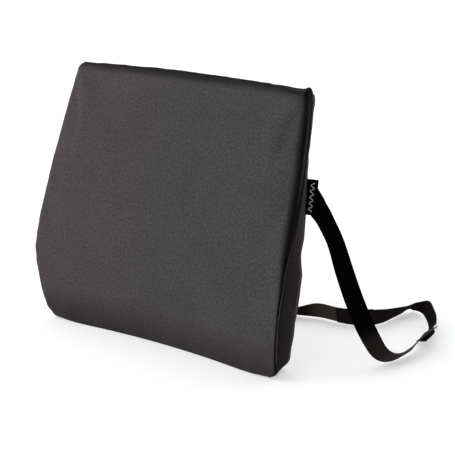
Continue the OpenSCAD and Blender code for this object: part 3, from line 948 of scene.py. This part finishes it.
half_t = STRAP_T / 2
tape_base = -half_t - STRAP_GAP - STRAP_T
right_web = strap_band(
    "strap_right_band", RIGHT, 0.0, RIGHT_WEB_END, -half_t, half_t, strap_black,
    tone=lambda u: 0.0,
    pale=lambda u: 0.0,
)
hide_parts("strap_right_webbing", "strap_root_right")
place_at(RIGHT, 0.55)
place_at(RIGHT, 0.9)
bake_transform(right_web)
right_tape = strap_band(
    "strap_right_loop", RIGHT, RIGHT_TAPE_START, len(RIGHT) - 1, tape_base, tape_base + STRAP_T, loop_tape,
    tone=lambda u: 0.54 * smoothstep((u - 7.2) / 1.0) + 0.46 * smoothstep((u - 9) / 1.5),
    pale=lambda u: smoothstep((u - 8.5) / 2),
)
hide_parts("strap_right_loop_tape")
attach(right_tape, "strap_right")
left_web = strap_band(
    "strap_left_band", LEFT, 0.0, LEFT_WEB_END, -half_t, half_t, strap_brown,
    tone=lambda u: smoothstep((u - 10.3) / 0.9),
    pale=lambda u: 0.05,
)
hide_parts("strap_left_webbing", "strap_root_left")
place_at(LEFT, 0.55)
place_at(LEFT, 0.9)
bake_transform(left_web)
left_tape = strap_band(
    "strap_left_hook", LEFT, LEFT_TAPE_START, len(LEFT) - 1, tape_base, tape_base + STRAP_T, hook_tape,
    tone=lambda u: smoothstep((u - 20) / 2) * (1 - smoothstep((u - 23.5) / 1.5)),
    pale=lambda u: 0.8 * smoothstep((u - 22.5) / 1.5),
)
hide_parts("strap_left_hook_tape")
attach(left_tape, "strap_left")


STITCH_PITCH, STITCH_R, STITCH_RISE, STITCH_SIDES, STITCH_STEPS = 3.0, 0.32, 0.28, 6, 6


def stitches(name, route, runs, height, body):
    """Rows of short stitches. Each run is (u start, q start, u end, q end)."""
    points, polygons = [], []
    for u0, q0, u1, q1 in runs:
        fine = np.linspace(0, 1, 200)
        mid, across, lift = strap_frames(route, u0 + (u1 - u0) * fine)
        p = mid + across * (q0 + (q1 - q0) * fine)[:, None]
        run = np.concatenate([[0], np.cumsum(np.linalg.norm(np.diff(p, axis=0), axis=1))])
        count = max(1, int(run[-1] / STITCH_PITCH))
        for i in range(count):
            s0, s1 = run[-1] * (i + 0.14) / count, run[-1] * (i + 0.86) / count
            centre = []
            for k in range(STITCH_STEPS + 1):
                f = np.interp(s0 + (s1 - s0) * k / STITCH_STEPS, run, fine)
                m, a, h = strap_frames(route, np.array([u0 + (u1 - u0) * f]))
                rise = height + STITCH_RISE * math.sin(math.pi * k / STITCH_STEPS)
                centre.append(m[0] + a[0] * (q0 + (q1 - q0) * f) + h[0] * rise)
            centre = np.array(centre)
            tangent = np.gradient(centre, axis=0)
            tangent /= np.linalg.norm(tangent, axis=1, keepdims=True)
            normal = h[0]
            side = np.cross(tangent, normal)
            side /= np.linalg.norm(side, axis=1, keepdims=True)
            first = len(points)
            for k in range(STITCH_STEPS + 1):
                r = STITCH_R * (0.55 + 0.45 * math.sin(math.pi * k / STITCH_STEPS))
                for j in range(STITCH_SIDES):
                    ang = math.pi * j / 3
                    points.append(centre[k] + r * (math.cos(ang) * side[k] + math.sin(ang) * normal))
            for k in range(STITCH_STEPS):
                ring_0 = first + k * STITCH_SIDES
                ring_1 = ring_0 + STITCH_SIDES
                for j in range(STITCH_SIDES):
                    m2 = (j + 1) % STITCH_SIDES
                    polygons.append((ring_0 + j, ring_0 + m2, ring_1 + m2, ring_1 + j))
            polygons.append(tuple(first + j for j in reversed(range(STITCH_SIDES))))
            polygons.append(tuple(ring_1 + j for j in range(STITCH_SIDES)))
    ob = mesh_object(name, points, polygons, [thread])
    shade_smooth(ob.data)
    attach(ob, body)
    return ob


right_box = stitches("strap_right_stitches", RIGHT, [
    (6.35, -8, 7.45, -8), (6.35, 8, 7.45, 8), (6.35, -8, 6.35, 8), (7.45, -8, 7.45, 8),
], half_t, "strap_right")
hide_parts("strap_right_stitching")
left_box = stitches("strap_left_stitches", LEFT, [
    (12.15, -8, 13.95, -8), (12.15, 8, 13.95, 8), (12.15, -8, 12.15, 8), (13.95, -8, 13.95, 8),
], half_t, "strap_left")
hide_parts("strap_left_stitching")


# ---------------------------------------------------------------- the label


LABEL_AT = (180.2, 27.8, 183.5)
LABEL_TURN, LABEL_LEAN, LABEL_L, LABEL_H = 8.0, 12.0, 10.0, 40.0
LABEL_ROOT, LABEL_STRAIGHT, LEAF_HALF = -3.2, LABEL_L - 0.6, 0.55
turn, lean = math.radians(LABEL_TURN), math.radians(LABEL_LEAN)
out_dir = np.array([math.cos(turn), math.sin(turn), 0.0])
flat_dir = np.array([-math.sin(turn), math.cos(turn), 0.0])
up_dir = flat_dir * math.sin(lean) + np.array([0.0, 0.0, math.cos(lean)])
thick_dir = np.cross(up_dir, out_dir)


def label_point(s, side, h):
    """s along the label from the seam, side is the leaf, h the height share."""
    curl = 0.5 * math.sin(math.pi * min(1, max(0, s / LABEL_L))) + 0.35 * (h - 0.5) ** 2
    p = np.array(LABEL_AT) + out_dir * s + thick_dir * (side + curl * 0.4)
    return p + up_dir * LABEL_H * h


leaf = []
for i in range(11):
    leaf.append((LABEL_ROOT + (LABEL_STRAIGHT - LABEL_ROOT) * i / 10, -LEAF_HALF))
for i in range(1, 6):
    ang = -math.pi / 2 + math.pi * i / 6
    leaf.append((LABEL_STRAIGHT + LEAF_HALF * math.cos(ang), LEAF_HALF * math.sin(ang)))
for i in range(11):
    leaf.append((LABEL_ROOT + (LABEL_STRAIGHT - LABEL_ROOT) * (10 - i) / 10, LEAF_HALF))
inner_leaf = [(s if s < LABEL_STRAIGHT else LABEL_L - 0.7, d * 0.35) for s, d in leaf]
points, polygons, corners = [], [], []
LABEL_ROWS = 18
n = len(leaf)
for k in range(LABEL_ROWS + 1):
    points += [label_point(s, d, k / LABEL_ROWS) for s, d in leaf]
for k in range(LABEL_ROWS + 1):
    points += [label_point(s, d, k / LABEL_ROWS) for s, d in inner_leaf]
under = (LABEL_ROWS + 1) * n
for k in range(LABEL_ROWS):
    for i in range(n - 1):
        u0, u1 = leaf[i][0], leaf[i + 1][0]
        v0, v1 = k * 2, k * 2 + 2
        low = k * n + i
        high = low + n
        polygons.append((low, low + 1, high + 1, high))
        corners.append([(u0, v0), (u1, v0), (u1, v1), (u0, v1)])
        polygons.append((under + low, under + high, under + high + 1, under + low + 1))
        corners.append([(u0, v0), (u0, v1), (u1, v1), (u1, v0)])
for k, flip in ((0, False), (LABEL_ROWS, True)):
    for i in range(n - 1):
        low = k * n + i
        f = (low, under + low, under + low + 1, low + 1)
        polygons.append(f[::-1] if flip else f)
        corners.append([(0, 0)] * 4)
label = mesh_object("label_folded", points, polygons, [label_cloth])
set_uv(label.data, corners)
set_value(label.data, "tone", np.zeros(len(points)))
shade_smooth(label.data)
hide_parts("woven_label")
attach(label, "cushion")

# A plain woven zigzag of short slanted bars on the leaf that faces forward
BARS, BAR_HALF_L, BAR_HALF_W, MOTIF_S, BAR_SIDES = 10, 2.5, 0.55, 3.6, 12
points, polygons = [], []
for i in range(BARS):
    h = 0.13 + 0.74 * i / (BARS - 1)
    slant = 0.55 if i % 2 else -0.55
    outline = []
    for k in range(BAR_SIDES):
        ang = 2 * math.pi * k / BAR_SIDES
        c, w = math.cos(ang), math.sin(ang)
        length = BAR_HALF_L * math.copysign(abs(c) ** 0.5, c)
        width = BAR_HALF_W * math.copysign(abs(w) ** 0.5, w) + slant * length
        outline.append((MOTIF_S + length, h + width / LABEL_H))
    first = len(points)
    points += [label_point(s, -0.72, q) for s, q in outline]
    points += [label_point(s, -0.5, q) for s, q in outline]
    polygons.append(tuple(first + k for k in range(BAR_SIDES)))
    for k in range(BAR_SIDES):
        m = (k + 1) % BAR_SIDES
        back = first + BAR_SIDES
        polygons.append((first + k, back + k, back + m, first + m))
motif = mesh_object("label_motif", points, polygons, [motif_thread])
turn_faces_out(motif.data)
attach(motif, "cushion")


# ---------------------------------------------------------------- CAD nodes that stay

KEEP = {
    "zip_tape_upper": zip_cloth, "zip_tape_lower": zip_cloth,
    "zip_teeth_upper": zip_nylon, "zip_teeth_lower": zip_nylon,
    "zip_stop_right": zip_metal, "zip_stop_left": zip_metal,
    "zip_slider": zip_metal, "zip_pull": zip_metal,
}
for node, material in KEEP.items():
    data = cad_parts[node].data
    data.materials.clear()
    data.materials.append(material)


# ---------------------------------------------------------------- floor and light

floor_material, nodes, links, bsdf = tree("floor")
where = nodes.new("ShaderNodeTexCoord").outputs["Object"]
grain = noise_node(nodes, links, where, 3, 2)
tone = ramp(nodes, links, grain, [(0.3, (0.61,) * 3), (0.7, (0.63,) * 3)])
links.new(tone, bsdf.inputs["Base Color"])
bsdf.inputs["Roughness"].default_value = 0.9
bsdf.inputs["Specular IOR Level"].default_value = 0.0
bsdf.inputs["Emission Color"].default_value = (1.0, 1.0, 1.0, 1)
bsdf.inputs["Emission Strength"].default_value = 0.48
FLOOR_HALF, FLOOR_DROP = 20, 0.0003
square = [(a * FLOOR_HALF, b * FLOOR_HALF, 0) for a, b in ((-1, -1), (1, -1), (1, 1), (-1, 1))]
floor = mesh_object("floor", square, [(0, 1, 2, 3)], [floor_material], scale=1.0)
floor.location.z = -FLOOR_DROP

world = bpy.data.worlds.new("studio")
bpy.context.scene.world = world
world.use_nodes = True
wn, wl = world.node_tree.nodes, world.node_tree.links
background = wn["Background"]
direction = wn.new("ShaderNodeTexCoord").outputs["Generated"]
dot = wn.new("ShaderNodeVectorMath")
dot.operation = "DOT_PRODUCT"
wl.new(direction, dot.inputs[0])
dot.inputs[1].default_value = (0.93, -0.36, 0.0)
level = wn.new("ShaderNodeMapRange")
level.interpolation_type = "SMOOTHSTEP"
level.inputs["From Min"].default_value = 0.0
level.inputs["From Max"].default_value = 0.8
level.inputs["To Min"].default_value = 1.25
level.inputs["To Max"].default_value = 0.12
wl.new(dot.outputs["Value"], level.inputs["Value"])
wl.new(level.outputs[0], background.inputs["Strength"])
background.inputs["Color"].default_value = (1.0, 1.0, 1.0, 1)


def soft_light(name, place, target, size, power):
    data = bpy.data.lights.new(name, "AREA")
    data.size = size
    data.energy = power
    ob = bpy.data.objects.new(name, data)
    ob.location = place
    ob.rotation_euler = (Vector(target) - Vector(place)).to_track_quat("-Z", "Y").to_euler()
    bpy.context.collection.objects.link(ob)


soft_light("key", (-1.6, -1.8, 1.9), (0, 0, 0.15), 1.6, 26)

bpy.context.scene.view_settings.view_transform = "Standard"
